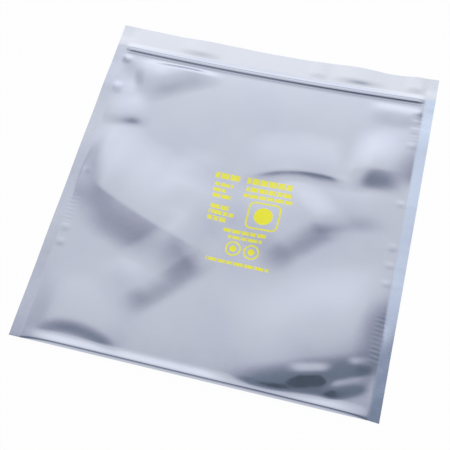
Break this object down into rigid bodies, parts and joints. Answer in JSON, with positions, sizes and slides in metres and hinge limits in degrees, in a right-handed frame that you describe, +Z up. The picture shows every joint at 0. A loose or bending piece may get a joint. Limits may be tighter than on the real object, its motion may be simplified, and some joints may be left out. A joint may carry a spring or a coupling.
{
  "type": "anti static shielding bag",
  "caption": "Square flat pouch of silvery metallised film with welded sides, a folded bottom and a press-to-close zip below its open mouth, lying empty on its back.",
  "frame": {"origin": "on the resting plane, under the middle of the bag's width and length", "axes": "+X across the bag along the zip, +Y along the bag from the bottom fold to the mouth, +Z up out of the printed front wall"},
  "size_m": [0.324, 0.344, 0.0094],
  "materials": {
    "film": "satin, metallised silver",
    "zip": "milky, slightly clear"
  },
  "bodies": {
    "root": {"film_pouch": "film", "zip_groove_strip": "zip", "zip_ridge_strip": "zip"}
  },
  "joints": []
}
